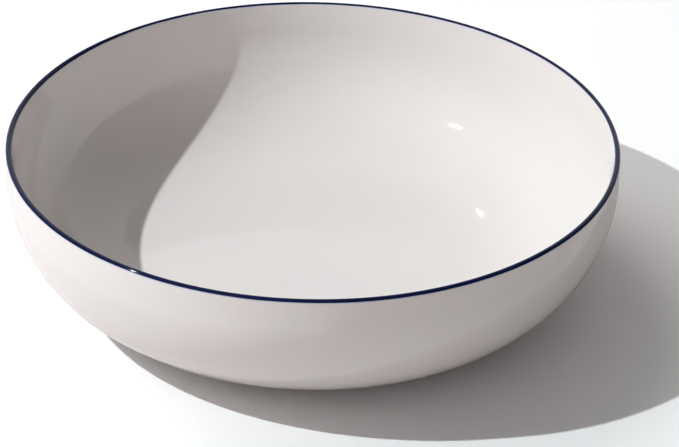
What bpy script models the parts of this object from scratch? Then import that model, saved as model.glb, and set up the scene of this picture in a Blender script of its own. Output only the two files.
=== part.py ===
"""A porcelain serving bowl with a blue line round its lip.

The bowl is broad and low: almost upright sides that turn tightly into a nearly flat floor,
a rounded lip, and a low turned foot. Every piece is a body of revolution about Z. The
origin is the middle of the circle that the foot stands on, +Z is up, and units are metres.

Three solids, from the table up:
  foot_ring  the turned foot, whose standing face is bare
  bowl_body  the glazed wall and floor
  rim_band   the crest of the lip, which carries the blue line
"""

import math

import bpy

# Driving dimensions
HEIGHT = 0.0670
WIDEST_RADIUS = 0.1270
WIDEST_DEPTH = 0.0140
LIP_OUTER_RADIUS = 0.12675
LIP_THICKNESS = 0.0025
BAND_HEIGHT = 0.0010
UPPER_WALL_THICKNESS = 0.0033
FLOOR_THICKNESS = 0.0036
FLOOR_RADIUS = 0.0700
FLOOR_DISH = 0.0003
FOOT_HEIGHT = 0.0030
FOOT_OUTER_RADIUS = 0.0750
FOOT_INNER_RADIUS = 0.0680
STANDING_FACE_WIDTH = 0.0030
UNDERSIDE_RISE = 0.0004
JOINT_GAP = 0.0003

# Each side turns from upright to level along one Bezier curve. A pull is the length of an
# end handle: a short upper one and a long lower one put the tight bend low on the wall.
OUTER_UPPER_PULL = 0.0073
OUTER_LOWER_PULL = 0.0465
OUTER_LOWER_SLOPE = math.radians(2.0)
INNER_UPPER_PULL = 0.0100
INNER_LOWER_PULL = 0.0502

# Fineness of the turned surfaces
TURN_STEPS = 72
BEND_SPANS = 14
UPRIGHT_SPANS = 3
CREST_SPANS = 8
DISH_SPANS = 3
MERGE_DISTANCE = 0.00001

# Heights above the table that follow from the dimensions
UNDERSIDE_Z = FOOT_HEIGHT
FLOOR_Z = FOOT_HEIGHT + FLOOR_THICKNESS
WIDEST_Z = HEIGHT - WIDEST_DEPTH
BAND_FOOT_Z = HEIGHT - BAND_HEIGHT
BODY_TOP_Z = BAND_FOOT_Z - JOINT_GAP

# The lip is a half-round as wide as the lip is thick
LIP_RADIUS = LIP_THICKNESS / 2
LIP_CENTRE_R = LIP_OUTER_RADIUS - LIP_RADIUS
LIP_CENTRE_Z = HEIGHT - LIP_RADIUS


def clear_scene():
    """Remove the objects that are already in the scene."""
    for obj in list(bpy.data.objects):
        bpy.data.objects.remove(obj, do_unlink=True)


def material(name, colour, roughness, metallic=0.0):
    """A plain Principled material."""
    made = bpy.data.materials.new(name)
    made.use_nodes = True
    made.diffuse_color = (*colour, 1.0)
    shader = made.node_tree.nodes["Principled BSDF"]
    shader.inputs["Base Color"].default_value = (*colour, 1.0)
    shader.inputs["Roughness"].default_value = roughness
    shader.inputs["Metallic"].default_value = metallic
    return made


def bezier(start, start_handle, end_handle, end, spans):
    """Points of a cubic Bezier curve, both ends included."""
    points = []
    for index in range(spans + 1):
        t = index / spans
        u = 1 - t
        weights = (u * u * u, 3 * u * u * t, 3 * u * t * t, t * t * t)
        controls = (start, start_handle, end_handle, end)
        r = sum(weight * point[0] for weight, point in zip(weights, controls))
        z = sum(weight * point[1] for weight, point in zip(weights, controls))
        points.append((r, z))
    return points


def lip_arc(start_angle, end_angle, spans):
    """Points on the lip's half-round; angle 0 is its outer side and pi its inner side."""
    points = []
    for index in range(spans + 1):
        angle = start_angle + (end_angle - start_angle) * index / spans
        r = LIP_CENTRE_R + LIP_RADIUS * math.cos(angle)
        z = LIP_CENTRE_Z + LIP_RADIUS * math.sin(angle)
        points.append((r, z))
    return points


def upright(widest_r, lip_r, top_z):
    """The wall from its upright point to the lip: a parabola, with the upright point left out."""
    points = []
    for index in range(1, UPRIGHT_SPANS + 1):
        part = index / UPRIGHT_SPANS
        r = widest_r + (lip_r - widest_r) * part * part
        points.append((r, WIDEST_Z + (top_z - WIDEST_Z) * part))
    return points


def dish(rim_r, rim_z, middle_z):
    """A shallow dish from the axis out to its rim, both ends included."""
    points = []
    for index in range(DISH_SPANS + 1):
        part = index / DISH_SPANS
        points.append((rim_r * part, middle_z + (rim_z - middle_z) * part * part))
    return points


def inner_side():
    """The inside, from the middle of the floor up to the top of the body."""
    wall_r = WIDEST_RADIUS - UPPER_WALL_THICKNESS
    slope = math.atan(2 * FLOOR_DISH / FLOOR_RADIUS)
    floor = dish(FLOOR_RADIUS, FLOOR_Z, FLOOR_Z - FLOOR_DISH)
    low_handle = (
        FLOOR_RADIUS + INNER_LOWER_PULL * math.cos(slope),
        FLOOR_Z + INNER_LOWER_PULL * math.sin(slope),
    )
    high_handle = (wall_r, WIDEST_Z - INNER_UPPER_PULL)
    bend = bezier(floor[-1], low_handle, high_handle, (wall_r, WIDEST_Z), BEND_SPANS)
    angle = math.pi - math.asin((BODY_TOP_Z - LIP_CENTRE_Z) / LIP_RADIUS)
    lip_r = LIP_CENTRE_R + LIP_RADIUS * math.cos(angle)
    return floor + bend[1:] + upright(wall_r, lip_r, BODY_TOP_Z)


def outer_side():
    """The outside, from the top of the body down to the edge of the foot."""
    angle = math.asin((BODY_TOP_Z - LIP_CENTRE_Z) / LIP_RADIUS)
    lip_r = LIP_CENTRE_R + LIP_RADIUS * math.cos(angle)
    low_handle = (
        FOOT_OUTER_RADIUS + OUTER_LOWER_PULL * math.cos(OUTER_LOWER_SLOPE),
        UNDERSIDE_Z + OUTER_LOWER_PULL * math.sin(OUTER_LOWER_SLOPE),
    )
    high_handle = (WIDEST_RADIUS, WIDEST_Z - OUTER_UPPER_PULL)
    widest = (WIDEST_RADIUS, WIDEST_Z)
    foot_edge = (FOOT_OUTER_RADIUS, UNDERSIDE_Z)
    bend = bezier(widest, high_handle, low_handle, foot_edge, BEND_SPANS)
    return upright(WIDEST_RADIUS, lip_r, BODY_TOP_Z)[::-1] + bend


def underside():
    """The underside inside the foot, from the foot's inner edge to the axis."""
    return dish(FOOT_INNER_RADIUS, UNDERSIDE_Z, UNDERSIDE_Z + UNDERSIDE_RISE)[::-1]


def band_section():
    """The crest of the half-round, cut off level; it runs from the inner edge outwards."""
    angle = math.asin((BAND_FOOT_Z - LIP_CENTRE_Z) / LIP_RADIUS)
    return lip_arc(math.pi - angle, angle, CREST_SPANS)


def foot_section():
    """The foot's closed outline: a flat seat on top and a narrower flat face to stand on."""
    seat_z = UNDERSIDE_Z - JOINT_GAP
    middle_r = (FOOT_OUTER_RADIUS + FOOT_INNER_RADIUS) / 2
    half_face = STANDING_FACE_WIDTH / 2
    ease_r = (FOOT_OUTER_RADIUS - FOOT_INNER_RADIUS - STANDING_FACE_WIDTH) / 4
    ease_z = FOOT_HEIGHT / 5
    return [
        (FOOT_INNER_RADIUS, seat_z),
        (FOOT_OUTER_RADIUS, seat_z),
        (middle_r + half_face + ease_r, ease_z),
        (middle_r + half_face, 0.0),
        (middle_r - half_face, 0.0),
        (middle_r - half_face - ease_r, ease_z),
    ]


def turned(name, section, closed, finish, collection):
    """Turn a section about Z. It runs down its outer side, so the faces point outwards."""
    edges = [(index, index + 1) for index in range(len(section) - 1)]
    if closed:
        edges.append((len(section) - 1, 0))
    mesh = bpy.data.meshes.new(name)
    mesh.from_pydata([(r, 0.0, z) for r, z in section], edges, [])
    mesh.materials.append(finish)
    obj = bpy.data.objects.new(name, mesh)
    collection.objects.link(obj)
    screw = obj.modifiers.new("Turn", "SCREW")
    screw.axis = "Z"
    screw.angle = math.tau
    screw.steps = TURN_STEPS
    screw.render_steps = TURN_STEPS
    screw.use_merge_vertices = True
    screw.merge_threshold = MERGE_DISTANCE
    screw.use_smooth_shade = True
    return obj


def build():
    """Build the bowl's three solids."""
    clear_scene()
    bowl = bpy.data.collections.new("serving_bowl")
    bpy.context.scene.collection.children.link(bowl)

    white_glaze = material("white_glaze", (0.86, 0.85, 0.83), 0.12)
    blue_line = material("blue_line", (0.012, 0.022, 0.135), 0.15)
    bare_porcelain = material("bare_porcelain", (0.80, 0.77, 0.72), 0.62)

    body_section = inner_side() + outer_side() + underside()
    turned("bowl_body", body_section, False, white_glaze, bowl)
    turned("rim_band", band_section(), True, blue_line, bowl)
    turned("foot_ring", foot_section(), True, bare_porcelain, bowl)


build()
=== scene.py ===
"""The looks of the porcelain serving bowl: fine glazed surfaces, the blue line, the bare foot.

Three turned pieces stand for the three CAD nodes. They follow the same section curves with
many more points, and carry the small departures of a fired piece: a lip that is a little out
of round and a little uneven in height. The finishes are procedural.
"""

import math

import bpy
import numpy as np
from mathutils import Matrix, Vector


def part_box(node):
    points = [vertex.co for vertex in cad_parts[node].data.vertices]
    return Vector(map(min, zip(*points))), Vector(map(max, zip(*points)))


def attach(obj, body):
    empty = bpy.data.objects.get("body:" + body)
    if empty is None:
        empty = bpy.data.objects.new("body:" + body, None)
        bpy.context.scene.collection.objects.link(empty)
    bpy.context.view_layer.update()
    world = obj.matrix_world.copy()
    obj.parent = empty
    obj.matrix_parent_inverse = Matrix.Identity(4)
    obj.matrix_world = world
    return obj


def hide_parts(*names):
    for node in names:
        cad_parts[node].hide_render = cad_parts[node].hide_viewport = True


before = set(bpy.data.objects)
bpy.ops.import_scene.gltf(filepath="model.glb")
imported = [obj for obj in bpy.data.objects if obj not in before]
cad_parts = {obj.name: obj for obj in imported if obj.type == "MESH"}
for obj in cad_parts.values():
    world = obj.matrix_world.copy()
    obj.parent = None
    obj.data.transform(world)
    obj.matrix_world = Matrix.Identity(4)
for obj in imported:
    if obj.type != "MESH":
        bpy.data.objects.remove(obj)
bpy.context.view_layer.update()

# ---------------------------------------------------------------- sizes from the frame
BODY_LOW, BODY_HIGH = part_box("bowl_body")
RIM_LOW, RIM_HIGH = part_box("rim_band")
FOOT_LOW, FOOT_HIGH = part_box("foot_ring")

HEIGHT = RIM_HIGH.z
WIDEST_RADIUS = BODY_HIGH.x
UNDERSIDE_Z = BODY_LOW.z
SEAM_Z = (BODY_HIGH.z + RIM_LOW.z) / 2
FOOT_OUTER_RADIUS = FOOT_HIGH.x

# ---------------------------------------------------------------- section, in metres
LIP_SETBACK = 0.00025
LIP_RADIUS = 0.00125
WIDEST_DEPTH = 0.0140
UPPER_WALL_THICKNESS = 0.0033
FLOOR_THICKNESS = 0.0036
FOOT_RING_WIDTH = 0.0070
LIP_OUTER_RADIUS = WIDEST_RADIUS - LIP_SETBACK
LIP_CENTRE_R = LIP_OUTER_RADIUS - LIP_RADIUS
LIP_CENTRE_Z = HEIGHT - LIP_RADIUS
WIDEST_Z = HEIGHT - WIDEST_DEPTH
OUTER_UPPER_PULL = 0.0073
OUTER_LOWER_PULL = 0.0465
OUTER_LOWER_SLOPE = math.radians(2.0)
WALL_RADIUS = WIDEST_RADIUS - UPPER_WALL_THICKNESS
INNER_UPPER_PULL = 0.0100
INNER_LOWER_PULL = 0.0502
FLOOR_Z = UNDERSIDE_Z + FLOOR_THICKNESS
FLOOR_RADIUS = 0.0700
FLOOR_DISH = 0.0003
FOOT_INNER_RADIUS = FOOT_OUTER_RADIUS - FOOT_RING_WIDTH
UNDERSIDE_RISE = 0.0004

# ---------------------------------------------------------------- fineness of the meshes
AROUND = 240
BEND_SPANS = 44
UPRIGHT_SPANS = 10
LIP_SPANS = 36
DISH_SPANS = 14


# ---------------------------------------------------------------- section curves
def bezier(start, start_handle, end_handle, end, spans):
    """Points of a cubic Bezier curve, both ends included."""
    t = np.linspace(0.0, 1.0, spans + 1)[:, None]
    u = 1.0 - t
    start, start_handle, end_handle, end = map(
        np.array, (start, start_handle, end_handle, end)
    )
    return (
        u**3 * start
        + 3 * u**2 * t * start_handle
        + 3 * u * t**2 * end_handle
        + t**3 * end
    )


def lip_arc(start_angle, end_angle, spans):
    """Points on the lip's half-round; angle 0 is its outer side and pi its inner side."""
    angle = np.linspace(start_angle, end_angle, spans + 1)
    return np.column_stack(
        (
            LIP_CENTRE_R + LIP_RADIUS * np.cos(angle),
            LIP_CENTRE_Z + LIP_RADIUS * np.sin(angle),
        )
    )


def upright(widest_r, lip_r):
    """The wall from its upright point up to the seam under the lip."""
    part = np.linspace(0.0, 1.0, UPRIGHT_SPANS + 1)[1:]
    r = widest_r + (lip_r - widest_r) * part**2
    z = WIDEST_Z + (SEAM_Z - WIDEST_Z) * part
    return np.column_stack((r, z))


def dish(rim_r, rim_z, middle_z):
    """A shallow dish from the axis out to its rim."""
    part = np.linspace(0.0, 1.0, DISH_SPANS + 1)
    return np.column_stack((rim_r * part, middle_z + (rim_z - middle_z) * part**2))


def seam_radius(inner):
    """Radius of the half-round where the rim piece meets the body."""
    reach = math.sqrt(LIP_RADIUS**2 - (SEAM_Z - LIP_CENTRE_Z) ** 2)
    return LIP_CENTRE_R - reach if inner else LIP_CENTRE_R + reach


def body_section():
    """The body's outline: the inside going up, the outside going down, the underside."""
    slope = math.atan(2 * FLOOR_DISH / FLOOR_RADIUS)
    floor = dish(FLOOR_RADIUS, FLOOR_Z, FLOOR_Z - FLOOR_DISH)
    inner_bend = bezier(
        floor[-1],
        (
            FLOOR_RADIUS + INNER_LOWER_PULL * math.cos(slope),
            FLOOR_Z + INNER_LOWER_PULL * math.sin(slope),
        ),
        (WALL_RADIUS, WIDEST_Z - INNER_UPPER_PULL),
        (WALL_RADIUS, WIDEST_Z),
        BEND_SPANS,
    )
    outer_bend = bezier(
        (WIDEST_RADIUS, WIDEST_Z),
        (WIDEST_RADIUS, WIDEST_Z - OUTER_UPPER_PULL),
        (
            FOOT_OUTER_RADIUS + OUTER_LOWER_PULL * math.cos(OUTER_LOWER_SLOPE),
            UNDERSIDE_Z + OUTER_LOWER_PULL * math.sin(OUTER_LOWER_SLOPE),
        ),
        (FOOT_OUTER_RADIUS, UNDERSIDE_Z),
        BEND_SPANS,
    )
    inside = np.vstack((floor, inner_bend[1:], upright(WALL_RADIUS, seam_radius(True))))
    outside = np.vstack(
        (upright(WIDEST_RADIUS, seam_radius(False))[::-1], outer_bend)
    )
    below = dish(FOOT_INNER_RADIUS, UNDERSIDE_Z, UNDERSIDE_Z + UNDERSIDE_RISE)[::-1]
    return np.vstack((inside, outside, below))


def rim_section():
    """The rim piece's outline: round the lip from its inner side to its outer side."""
    angle = math.asin((SEAM_Z - LIP_CENTRE_Z) / LIP_RADIUS)
    return lip_arc(math.pi - angle, angle, LIP_SPANS)


def foot_section():
    """The foot's outline: coves at its root, nearly upright sides, a rounded flat face."""
    middle = (FOOT_OUTER_RADIUS + FOOT_INNER_RADIUS) / 2
    root = 0.0046
    side = 0.0034
    face = 0.0015
    outer = np.vstack(
        (
            bezier(
                (middle + root, UNDERSIDE_Z + 0.00005),
                (middle + side + 0.0003, UNDERSIDE_Z - 0.0001),
                (middle + side, UNDERSIDE_Z - 0.0006),
                (middle + side - 0.0001, UNDERSIDE_Z - 0.0013),
                10,
            ),
            bezier(
                (middle + side - 0.0002, 0.0011),
                (middle + side - 0.0003, 0.0004),
                (middle + face + 0.0008, 0.0),
                (middle + face, 0.0),
                12,
            ),
        )
    )
    inner = outer[::-1] * (-1.0, 1.0) + (2 * middle, 0.0)
    return np.vstack((outer, inner))


# ---------------------------------------------------------------- turned meshes
OUT_OF_ROUND = 0.0009
UNEVEN_HEIGHT = 0.00016


def fired(points):
    """The points moved as firing moves them: only inwards and down, so the box still holds."""
    x, y, z = points.T
    angle = np.arctan2(y, x)
    rise = np.clip((z - 0.25 * HEIGHT) / (0.75 * HEIGHT), 0.0, 1.0)
    weight = rise * rise * (3.0 - 2.0 * rise)
    oval = 0.5 - 0.5 * np.cos(2.0 * (angle - 0.6))
    uneven = 0.5 - 0.30 * np.cos(2.0 * (angle + 0.9)) - 0.20 * np.cos(3.0 * angle + 0.4)
    pull = 1.0 - OUT_OF_ROUND * weight * oval
    return np.column_stack((x * pull, y * pull, z - UNEVEN_HEIGHT * weight * uneven))


def turned(name, section, closed_loop, lip_distance=None):
    """Turn a section about Z into one closed mesh; its ends lie on the axis or it is a loop."""
    count = len(section)
    on_axis = [index for index in range(count) if section[index][0] < 1e-7]
    angles = np.linspace(0.0, math.tau, AROUND, endpoint=False)
    points = []
    start = []
    for index, (r, z) in enumerate(section):
        start.append(len(points))
        if index in on_axis:
            points.append((0.0, 0.0, z))
            continue
        for angle in angles:
            points.append((r * math.cos(angle), r * math.sin(angle), z))

    faces = []
    last = count if closed_loop else count - 1
    for index in range(last):
        after = (index + 1) % count
        for step in range(AROUND):
            turn = (step + 1) % AROUND
            if index in on_axis:
                faces.append((start[index], start[after] + step, start[after] + turn))
            elif after in on_axis:
                faces.append((start[index] + step, start[after], start[index] + turn))
            else:
                faces.append(
                    (
                        start[index] + step,
                        start[after] + step,
                        start[after] + turn,
                        start[index] + turn,
                    )
                )

    mesh = bpy.data.meshes.new(name)
    mesh.from_pydata(fired(np.array(points)).tolist(), [], faces)
    mesh.shade_smooth()
    mesh.set_sharp_from_angle(angle=math.radians(35.0))
    if lip_distance is not None:
        layer = mesh.attributes.new("lip_distance", "FLOAT", "POINT")
        values = []
        for index in range(count):
            repeats = 1 if index in on_axis else AROUND
            values.extend([lip_distance[index]] * repeats)
        layer.data.foreach_set("value", values)
    obj = bpy.data.objects.new(name, mesh)
    bpy.context.scene.collection.objects.link(obj)
    return obj


def distance_from_crest(section):
    """Length along the section from the lip's crest, negative inside and positive outside."""
    top = max(range(len(section)), key=lambda index: section[index][1])
    distances = []
    for index, (r, z) in enumerate(section):
        if z >= LIP_CENTRE_Z:
            distances.append(LIP_RADIUS * math.atan2(r - LIP_CENTRE_R, z - LIP_CENTRE_Z))
            continue
        below = min(LIP_CENTRE_Z - z + LIP_RADIUS * math.pi / 2, 0.02)
        distances.append(-below if index <= top else below)
    return distances


# ---------------------------------------------------------------- material helpers
class Finish:
    """A material under construction: a small helper round its node tree."""

    def __init__(self, name):
        self.material = bpy.data.materials.new(name)
        self.material.use_nodes = True
        self.tree = self.material.node_tree
        self.shader = self.tree.nodes["Principled BSDF"]
        self.place = self.tree.nodes.new("ShaderNodeTexCoord").outputs["Object"]

    def node(self, kind, inputs=None, **settings):
        """Add a node; inputs maps a socket's name or number to a value or to another socket."""
        made = self.tree.nodes.new(kind)
        for key, value in settings.items():
            setattr(made, key, value)
        for key, value in (inputs or {}).items():
            if isinstance(value, bpy.types.NodeSocket):
                self.tree.links.new(value, made.inputs[key])
            else:
                made.inputs[key].default_value = value
        return made

    def math(self, operation, first, second=0.0, third=0.0):
        """A Math node's output."""
        node = self.node(
            "ShaderNodeMath", {0: first, 1: second, 2: third}, operation=operation
        )
        return node.outputs[0]

    def scaled_place(self, x, y, z):
        """The object's coordinates, scaled on each axis."""
        node = self.node(
            "ShaderNodeVectorMath", {0: self.place, 1: (x, y, z)}, operation="MULTIPLY"
        )
        return node.outputs[0]

    def noise(self, per_metre, detail=2.0, vector=None, roughness=0.5):
        """Noise from 0 to 1 with about that many features in a metre."""
        node = self.node(
            "ShaderNodeTexNoise",
            {
                "Vector": vector or self.place,
                "Scale": per_metre,
                "Detail": detail,
                "Roughness": roughness,
            },
        )
        return node.outputs["Fac"]

    def ramp(self, value, low, high, low_out=0.0, high_out=1.0):
        """A smooth step of a value between two levels."""
        node = self.node(
            "ShaderNodeMapRange",
            {0: value, 1: low, 2: high, 3: low_out, 4: high_out},
            interpolation_type="SMOOTHSTEP",
        )
        return node.outputs[0]

    def mix(self, factor, first, second):
        """A colour between two colours or colour sockets."""
        node = self.node("ShaderNodeMix", data_type="RGBA")
        for socket, value in zip((0, 6, 7), (factor, first, second)):
            if isinstance(value, bpy.types.NodeSocket):
                self.tree.links.new(value, node.inputs[socket])
            elif socket:
                node.inputs[socket].default_value = (*value, 1.0)
            else:
                node.inputs[socket].default_value = value
        return node.outputs[2]

    def bump(self, height, distance, before=None):
        """A bump whose height runs from 0 to 1 over that distance in metres."""
        inputs = {"Strength": 1.0, "Distance": distance, "Height": height}
        if before is not None:
            inputs["Normal"] = before
        return self.node("ShaderNodeBump", inputs).outputs[0]

    def set(self, **sockets):
        """Set or link the shader's sockets; an underscore stands for a space."""
        for key, value in sockets.items():
            socket = self.shader.inputs[key.replace("_", " ")]
            if isinstance(value, bpy.types.NodeSocket):
                self.tree.links.new(value, socket)
            elif hasattr(value, "__len__") and len(value) == 3 and socket.type == "RGBA":
                socket.default_value = (*value, 1.0)
            else:
                socket.default_value = value


# ---------------------------------------------------------------- finishes
WHITE_WARM = (0.842, 0.795, 0.768)
WHITE_COOL = (0.819, 0.784, 0.762)
MOTTLE = (0.76, 0.70, 0.68)
SPECK = (0.42, 0.36, 0.30)
BLUE_DEEP = (0.0016, 0.0030, 0.0190)
BLUE_THIN = (0.0050, 0.0160, 0.1050)
BLUE_FRINGE = (0.340, 0.430, 0.680)
BISQUE_LIGHT = (0.70, 0.66, 0.60)
BISQUE_DARK = (0.58, 0.53, 0.47)
BISQUE_GRAIN = (0.46, 0.42, 0.37)
FLOOR_PALE = (0.930, 0.935, 0.935)
FLOOR_PALEST = (0.960, 0.965, 0.965)
FLOOR_BOUNCE = (0.700, 0.676, 0.672)

# The painted line's edges, as lengths along the section from the lip's crest. Its inner edge
# reaches further towards -X, and that fades out between the heavy side's two values of X.
PAINT_INNER_EDGE = -0.00118
PAINT_OUTER_EDGE = 0.00156
PAINT_HEAVIER = 0.0008
HEAVY_SIDE = (-0.125, -0.070)
PAINT_SWAY = 0.00034
PAINT_RAGGED = 0.00012

# The rings that turning leaves in the glaze
RING_SPACING = 0.0042


def radius_of(finish):
    """Distance from the bowl's axis."""
    parts = finish.node("ShaderNodeSeparateXYZ", {0: finish.place}).outputs
    squares = finish.math(
        "ADD",
        finish.math("MULTIPLY", parts[0], parts[0]),
        finish.math("MULTIPLY", parts[1], parts[1]),
    )
    return finish.math("SQRT", squares)


def glaze_colour(finish):
    """Clear glaze over white porcelain: faint clouding and a very few fine specks."""
    cloud = finish.ramp(finish.noise(14.0, 3.0), 0.35, 0.65)
    colour = finish.mix(cloud, WHITE_WARM, WHITE_COOL)
    mottle = finish.ramp(finish.noise(420.0, 2.0), 0.3, 0.7, 0.0, 0.05)
    colour = finish.mix(mottle, colour, MOTTLE)
    cells = finish.node(
        "ShaderNodeTexVoronoi",
        {"Vector": finish.place, "Scale": 46.0, "Randomness": 1.0},
        feature="F1",
    )
    core = finish.ramp(cells.outputs["Distance"], 0.004, 0.013, 1.0, 0.0)
    rare = finish.ramp(finish.noise(31.0, 0.0), 0.58, 0.60)
    dot = finish.math("MULTIPLY", finish.math("MULTIPLY", core, rare), 0.55)
    return finish.mix(dot, colour, SPECK)


def glaze_surface(finish):
    """The glaze's surface: slow waves, orange peel, faint turning rings, changing gloss."""
    waves = finish.bump(finish.noise(58.0, 1.0), 0.000030)
    peel = finish.bump(finish.noise(330.0, 2.0), 0.0000032, waves)
    turn = finish.math("MULTIPLY", radius_of(finish), math.tau / RING_SPACING)
    drift = finish.math("MULTIPLY", finish.noise(24.0, 2.0), 5.0)
    rings = finish.math("SINE", finish.math("ADD", turn, drift))
    rings = finish.math("MULTIPLY_ADD", rings, 0.5, 0.5)
    normal = finish.bump(rings, 0.0000016, peel)
    smear = finish.noise(36.0, 4.0, roughness=0.6)
    gloss = finish.ramp(smear, 0.25, 0.80, 0.025, 0.055)
    finish.set(Normal=normal, Roughness=gloss)


def clay_body(finish):
    """What glaze and bare porcelain share: a dense clay that lets a little light in."""
    finish.set(
        IOR=1.51,
        Subsurface_Weight=0.10,
        Subsurface_Radius=(1.0, 0.85, 0.70),
        Subsurface_Scale=0.0016,
    )


def paint_masks(finish):
    """How much blue lies at a point: the line itself, and the fringe where it bled."""
    distance = finish.node(
        "ShaderNodeAttribute", attribute_name="lip_distance"
    ).outputs["Fac"]
    sway = finish.math("SUBTRACT", finish.noise(34.0, 2.0), 0.5)
    ragged = finish.math("SUBTRACT", finish.noise(900.0, 3.0), 0.5)
    shift = finish.math(
        "ADD",
        finish.math("MULTIPLY", sway, PAINT_SWAY),
        finish.math("MULTIPLY", ragged, PAINT_RAGGED),
    )
    side = finish.node("ShaderNodeSeparateXYZ", {0: finish.place}).outputs[0]
    heavier = finish.ramp(side, *HEAVY_SIDE, PAINT_HEAVIER / 2, 0.0)
    centre = finish.math("SUBTRACT", (PAINT_INNER_EDGE + PAINT_OUTER_EDGE) / 2, heavier)
    half = finish.math("ADD", (PAINT_OUTER_EDGE - PAINT_INNER_EDGE) / 2, heavier)
    from_centre = finish.math(
        "ABSOLUTE", finish.math("SUBTRACT", distance, centre)
    )
    past = finish.math("SUBTRACT", finish.math("ADD", from_centre, shift), half)
    line = finish.ramp(past, -0.00007, 0.00006, 1.0, 0.0)
    fringe = finish.ramp(past, -0.00010, 0.00090, 1.0, 0.0)
    return distance, line, finish.math("POWER", fringe, 1.6)


def add_paint(finish, colour):
    """Lay the blue line and its fringe over a glaze colour."""
    distance, line, fringe = paint_masks(finish)
    stretched = finish.scaled_place(70.0, 70.0, 0.0)
    across = finish.node(
        "ShaderNodeCombineXYZ", {2: finish.math("MULTIPLY", distance, 5200.0)}
    ).outputs[0]
    streak_place = finish.node(
        "ShaderNodeVectorMath", {0: stretched, 1: across}, operation="ADD"
    ).outputs[0]
    streaks = finish.noise(1.0, 3.0, vector=streak_place)
    thin = finish.ramp(streaks, 0.35, 0.75)
    blue = finish.mix(thin, BLUE_DEEP, BLUE_THIN)
    tinted = finish.mix(finish.math("MULTIPLY", fringe, 0.62), colour, BLUE_FRINGE)
    return finish.mix(line, tinted, blue)


def white_glaze():
    """The body's glaze, with the blue's fringe just under the rim."""
    finish = Finish("white_glaze")
    clay_body(finish)
    glaze_surface(finish)
    finish.set(Base_Color=add_paint(finish, glaze_colour(finish)))
    return finish.material


def blue_line():
    """The rim's glaze with the blue line on it, which shines less than the white."""
    finish = Finish("blue_line")
    clay_body(finish)
    glaze_surface(finish)
    finish.set(Specular_IOR_Level=0.22)
    finish.set(Base_Color=add_paint(finish, glaze_colour(finish)))
    return finish.material


def foot_finish():
    """Glazed sides and a bare, ground standing face, with an uneven edge between them."""
    finish = Finish("bare_porcelain")
    clay_body(finish)
    height = finish.node("ShaderNodeSeparateXYZ", {0: finish.place}).outputs[2]
    edge = finish.math("MULTIPLY", finish.noise(210.0, 3.0), 0.0006)
    level = finish.math("SUBTRACT", height, edge)
    glazed = finish.ramp(level, 0.00042, 0.00052)
    grain = finish.noise(2600.0, 3.0)
    stain = finish.ramp(finish.noise(60.0, 3.0), 0.3, 0.7)
    bare = finish.mix(stain, BISQUE_LIGHT, BISQUE_DARK)
    bare = finish.mix(finish.ramp(grain, 0.62, 0.74, 0.0, 0.5), bare, BISQUE_GRAIN)
    colour = finish.mix(glazed, bare, glaze_colour(finish))
    gloss = finish.ramp(glazed, 0.0, 1.0, 0.62, 0.055)
    relief = finish.math("MULTIPLY", grain, finish.math("SUBTRACT", 1.0, glazed))
    rough_normal = finish.bump(relief, 0.000030)
    normal = finish.bump(glazed, 0.00012, rough_normal)
    finish.set(Base_Color=colour, Roughness=gloss, Normal=normal)
    return finish.material


def floor_finish():
    """A matt pale floor with a faint grain; the light it throws back is a little weaker."""
    finish = Finish("studio_floor")
    tone = finish.ramp(finish.noise(3.0, 4.0), 0.3, 0.7)
    seen = finish.mix(tone, FLOOR_PALE, FLOOR_PALEST)
    straight = finish.node("ShaderNodeLightPath").outputs["Is Camera Ray"]
    finish.set(
        Base_Color=finish.mix(straight, FLOOR_BOUNCE, seen),
        Roughness=0.85,
        Specular_IOR_Level=0.15,
        Normal=finish.bump(finish.noise(900.0, 3.0), 0.00004),
    )
    return finish.material


# ---------------------------------------------------------------- pieces
def add_piece(name, section, closed_loop, finish, node, lip=True):
    """Make a turned piece, give it its finish, and let it stand for its CAD node."""
    distances = distance_from_crest(section) if lip else None
    piece = turned(name, section, closed_loop, distances)
    piece.data.materials.append(finish)
    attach(piece, "root")
    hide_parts(node)
    return piece


body = add_piece("glazed_body", body_section(), False, white_glaze(), "bowl_body")
rim = add_piece("painted_rim", rim_section(), True, blue_line(), "rim_band")
foot = add_piece("turned_foot", foot_section(), True, foot_finish(), "foot_ring", lip=False)


# ---------------------------------------------------------------- stage
FLOOR_SIZE = 14.0
KEY_POSITION = Vector((-1.35, -0.291, 1.50))
KEY_DIAMETER = 0.035
KEY_POWER = 31.6
KEY_COLOR = (0.950, 1.000, 1.030)
WASH_POSITION = Vector((-1.6, 1.6, 2.25))
WASH_DIAMETER = 2.6
WASH_POWER = 46.0
WASH_COLOR = (1.0, 0.975, 0.955)
SKY_COLOR = (1.0, 0.990, 0.985)
FRONT_COLOR = (1.0, 0.895, 0.900)
BACKDROP_STRENGTH = 0.96

# Each soft source of the studio: its direction, how tight it is, its strength and its colour.
SOFT_SOURCES = (
    ((-1.0, 0.0, 0.0), 2.0, 0.24, SKY_COLOR),
    ((0.0, 1.0, 0.0), 2.0, 0.97, SKY_COLOR),
    ((0.0, -1.0, 0.0), 2.0, 0.41, FRONT_COLOR),
    ((-0.5, 0.5, 0.707), 5.0, 0.18, SKY_COLOR),
    ((-0.5, -0.5, 0.707), 5.0, 0.40, SKY_COLOR),
    ((0.5, 0.5, 0.707), 5.0, 0.08, SKY_COLOR),
)


def add_floor():
    """A plain floor under the bowl."""
    bpy.ops.mesh.primitive_plane_add(size=FLOOR_SIZE, location=(0.0, 0.0, 0.0))
    floor = bpy.context.object
    floor.name = "studio_floor"
    floor.data.materials.append(floor_finish())
    return floor


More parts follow.
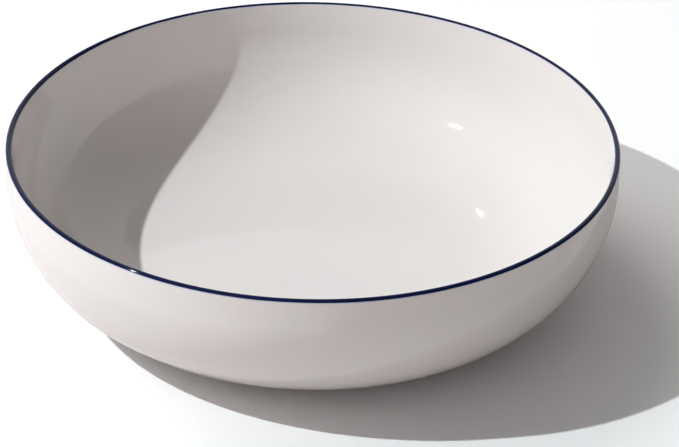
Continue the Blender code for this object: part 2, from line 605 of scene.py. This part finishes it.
def add_disk_light(name, position, diameter, power, color):
    """A round light that faces the bowl."""
    data = bpy.data.lights.new(name, "AREA")
    data.shape = "DISK"
    data.size = diameter
    data.energy = power
    data.color = color
    light = bpy.data.objects.new(name, data)
    light.location = position
    light.rotation_mode = "QUATERNION"
    light.rotation_quaternion = (-position).to_track_quat("-Z", "Y")
    light.visible_camera = False
    bpy.context.scene.collection.objects.link(light)
    return light


def add_lights(floor):
    """A small key high on the left, and a wide wash from the back that only the floor gets."""
    add_disk_light("key", KEY_POSITION, KEY_DIAMETER, KEY_POWER, KEY_COLOR)
    wash = add_disk_light("wash", WASH_POSITION, WASH_DIAMETER, WASH_POWER, WASH_COLOR)
    receivers = bpy.data.collections.new("washed")
    receivers.objects.link(floor)
    wash.light_linking.receiver_collection = receivers


def soft_source(tree, direction, tightness, strength, color):
    """A background that shines from round one direction, brightest at its middle."""
    place = tree.nodes.new("ShaderNodeTexCoord").outputs["Generated"]
    towards = tree.nodes.new("ShaderNodeVectorMath")
    towards.operation = "DOT_PRODUCT"
    tree.links.new(place, towards.inputs[0])
    towards.inputs[1].default_value = Vector(direction).normalized()
    result = towards.outputs["Value"]
    for operation, value in (("MAXIMUM", 0.0), ("POWER", tightness), ("MULTIPLY", strength)):
        step = tree.nodes.new("ShaderNodeMath")
        step.operation = operation
        tree.links.new(result, step.inputs[0])
        step.inputs[1].default_value = value
        result = step.outputs[0]
    source = tree.nodes.new("ShaderNodeBackground")
    source.inputs["Color"].default_value = (*color, 1.0)
    tree.links.new(result, source.inputs["Strength"])
    return source.outputs[0]


def add_surroundings():
    """Soft light from the studio's sources; the camera sees a plain pale tone instead."""
    world = bpy.data.worlds.new("studio")
    bpy.context.scene.world = world
    world.use_nodes = True
    tree = world.node_tree
    backdrop = tree.nodes["Background"]
    backdrop.inputs["Color"].default_value = (1.0, 1.0, 1.0, 1.0)
    backdrop.inputs["Strength"].default_value = BACKDROP_STRENGTH
    total = soft_source(tree, *SOFT_SOURCES[0])
    for source in SOFT_SOURCES[1:]:
        add = tree.nodes.new("ShaderNodeAddShader")
        tree.links.new(total, add.inputs[0])
        tree.links.new(soft_source(tree, *source), add.inputs[1])
        total = add.outputs[0]
    path = tree.nodes.new("ShaderNodeLightPath")
    choice = tree.nodes.new("ShaderNodeMixShader")
    tree.links.new(path.outputs["Is Camera Ray"], choice.inputs[0])
    tree.links.new(total, choice.inputs[1])
    tree.links.new(backdrop.outputs[0], choice.inputs[2])
    tree.links.new(choice.outputs[0], tree.nodes["World Output"].inputs["Surface"])


# ---------------------------------------------------------------- camera
CAMERA_DISTANCE = 1.0355
CAMERA_ELEVATION = math.radians(29.03)
CAMERA_PAN = math.radians(0.73)
CAMERA_TILT = math.radians(31.01)
CAMERA_ROLL = math.radians(1.30)
CAMERA_LENS = 132.5
CAMERA_DROP = 0.0006


def add_camera():
    """A long lens in front of the bowl, looking down into it and slightly rolled."""
    data = bpy.data.cameras.new("camera")
    data.lens = CAMERA_LENS
    data.sensor_width = 36.0
    data.sensor_fit = "HORIZONTAL"
    camera = bpy.data.objects.new("camera", data)
    place = Matrix.Translation(
        (
            0.0,
            -CAMERA_DISTANCE * math.cos(CAMERA_ELEVATION),
            HEIGHT - CAMERA_DROP + CAMERA_DISTANCE * math.sin(CAMERA_ELEVATION),
        )
    )
    camera.matrix_world = (
        place
        @ Matrix.Rotation(-CAMERA_PAN, 4, "Z")
        @ Matrix.Rotation(math.pi / 2 - CAMERA_TILT, 4, "X")
        @ Matrix.Rotation(CAMERA_ROLL, 4, "Z")
    )
    bpy.context.scene.collection.objects.link(camera)
    bpy.context.scene.camera = camera


add_lights(add_floor())
add_surroundings()
add_camera()
bpy.context.scene.view_settings.view_transform = "Standard"
